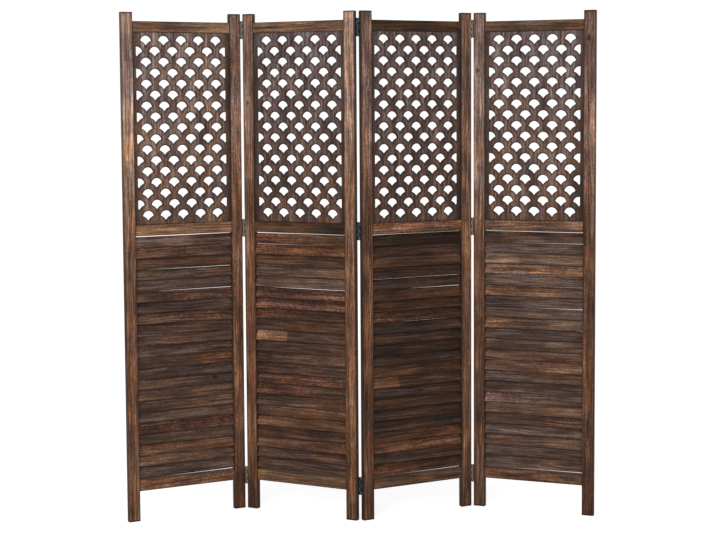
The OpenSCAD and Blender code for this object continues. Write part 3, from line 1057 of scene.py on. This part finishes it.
class SCREEN_OT_stage(bpy.types.Operator):
    """Camera, soft studio light, pale floor and white background"""

    bl_idname = "screen.stage"
    bl_label = "Stage"

    def execute(self, context):
        settings = context.scene.screen_stage
        scene = context.scene
        scene.view_settings.view_transform = "Standard"
        folds = {joint["name"]: joint["pos_m"] for joint in frame["joints"]}
        middle = folds["fold_23"]

        camera = bpy.data.cameras.new("Camera")
        camera.sensor_width = SENSOR_WIDTH
        camera.lens = settings.lens
        camera.shift_y = settings.shift
        holder = bpy.data.objects.new("Camera", camera)
        tilt = Matrix.Rotation(math.pi / 2 - settings.pitch, 4, "X")
        turn = Matrix.Rotation(settings.roll, 4, "Z")
        stand = (middle[0] - CAMERA_ASIDE, middle[1] - settings.distance, settings.height)
        holder.matrix_world = Matrix.Translation(stand) @ tilt @ turn
        scene.collection.objects.link(holder)
        scene.camera = holder

        area_lamp("Key", KEY_PLACE, settings.key_power)
        area_lamp("Fill", FILL_PLACE, settings.fill_power)

        world = bpy.data.worlds.new("Studio")
        world.use_nodes = True
        world.node_tree.nodes.clear()
        g = Graph(world.node_tree)
        seen = seen_directly(g)
        strength = g.ramp(seen, 0.0, 1.0, settings.ambient, BACKGROUND_GLOW, smooth=False)
        white = g.add("ShaderNodeBackground", {"Color": (1, 1, 1, 1), "Strength": strength})
        g.add("ShaderNodeOutputWorld", {"Surface": white.outputs[0]})
        scene.world = world

        bm = bmesh.new()
        bmesh.ops.create_circle(bm, cap_ends=True, segments=64, radius=FLOOR_RADIUS)
        mesh = bpy.data.meshes.new("Floor")
        bm.to_mesh(mesh)
        bm.free()
        floor = bpy.data.objects.new("Floor", mesh)
        scene.collection.objects.link(floor)
        material, g, shader = new_material("Pale floor")
        shader.inputs["Base Color"].default_value = FLOOR_COLOUR
        shader.inputs["Roughness"].default_value = FLOOR_ROUGHNESS
        shader.inputs["Specular IOR Level"].default_value = 0.0
        shader.inputs["Emission Color"].default_value = (1.0, 1.0, 1.0, 1.0)
        g.put(g.math("MULTIPLY", seen_directly(g), FLOOR_GLOW), shader.inputs["Emission Strength"])
        mesh.materials.append(material)
        return {"FINISHED"}


class SCREEN_PT_build(bpy.types.Panel):
    """Lists the steps that build the screen"""

    bl_label = "Folding Screen"
    bl_idname = "SCREEN_PT_build"
    bl_space_type = "VIEW_3D"
    bl_region_type = "UI"
    bl_category = "Screen"

    def draw(self, context):
        for step in STEPS:
            self.layout.operator(step.bl_idname)
        for group in ("screen_wood", "screen_metal", "screen_stage"):
            settings = getattr(context.scene, group)
            box = self.layout.box()
            for name in settings.__annotations__:
                box.prop(settings, name)


STEPS = (
    SCREEN_OT_stage,
    SCREEN_OT_posts,
    SCREEN_OT_rails,
    SCREEN_OT_fretwork,
    SCREEN_OT_slats,
    SCREEN_OT_hinges,
    SCREEN_OT_dowels,
)
GROUPS = (ScreenWood, ScreenMetal, ScreenStage)


def register():
    for kind in (*GROUPS, *STEPS, SCREEN_PT_build):
        bpy.utils.register_class(kind)
    bpy.types.Scene.screen_wood = bpy.props.PointerProperty(type=ScreenWood)
    bpy.types.Scene.screen_metal = bpy.props.PointerProperty(type=ScreenMetal)
    bpy.types.Scene.screen_stage = bpy.props.PointerProperty(type=ScreenStage)


def unregister():
    del bpy.types.Scene.screen_wood
    del bpy.types.Scene.screen_metal
    del bpy.types.Scene.screen_stage
    for kind in reversed((*GROUPS, *STEPS, SCREEN_PT_build)):
        bpy.utils.unregister_class(kind)


def main():
    register()
    bpy.ops.screen.stage()
    bpy.ops.screen.posts()
    bpy.ops.screen.rails()
    bpy.ops.screen.fretwork()
    bpy.ops.screen.slats()
    bpy.ops.screen.hinges()
    bpy.ops.screen.dowels()


if __name__ == "__main__":
    main()
